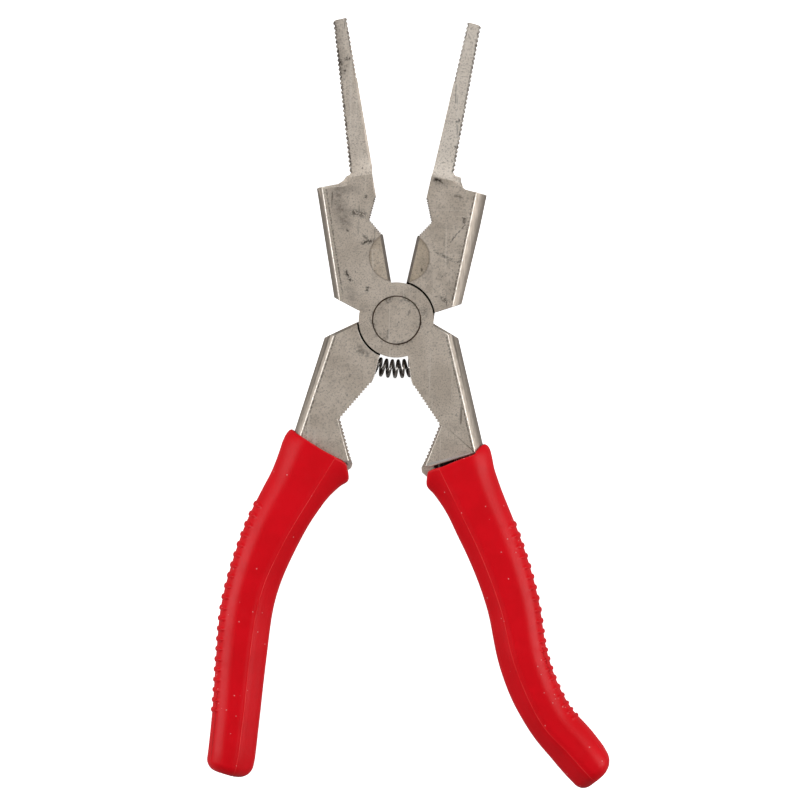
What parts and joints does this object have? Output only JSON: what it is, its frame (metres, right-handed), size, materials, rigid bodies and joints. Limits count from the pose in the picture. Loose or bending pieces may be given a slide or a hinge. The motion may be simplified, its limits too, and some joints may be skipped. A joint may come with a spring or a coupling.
{
  "type": "mig welding pliers",
  "caption": "Spring-opened pliers with a long slim toothed nose, wire cutter, toothed nozzle grip between the shanks, hammer-like flanks and red plastic sleeve grips.",
  "frame": {"origin": "centre of the pivot rivet's rear face, on the pivot axis", "axes": "+Y along the tool towards the nose tip at the middle of its opening, +Z out of the front face, +X to the viewer's right"},
  "size_m": [0.1095, 0.2064, 0.0132],
  "materials": {
    "forged_steel": "satin ground",
    "rivet_steel": "satin ground",
    "spring_steel": "bright wire",
    "red_plastic": "semi-gloss moulded"
  },
  "bodies": {
    "rear_half": {"rear_lever": "forged_steel", "left_grip": "red_plastic", "pivot_rivet": "rivet_steel", "return_spring": "spring_steel"},
    "front_half": {"front_lever": "forged_steel", "right_grip": "red_plastic"}
  },
  "joints": [
    {"name": "pivot", "type": "hinge", "parent": "rear_half", "child": "front_half", "pos_m": [0, 0, 0.005], "axis": [0, 0, 1], "range_deg": [-22.6, 17], "stiffness_Nm_per_rad": 0.6, "deforming": ["return_spring"]}
  ]
}
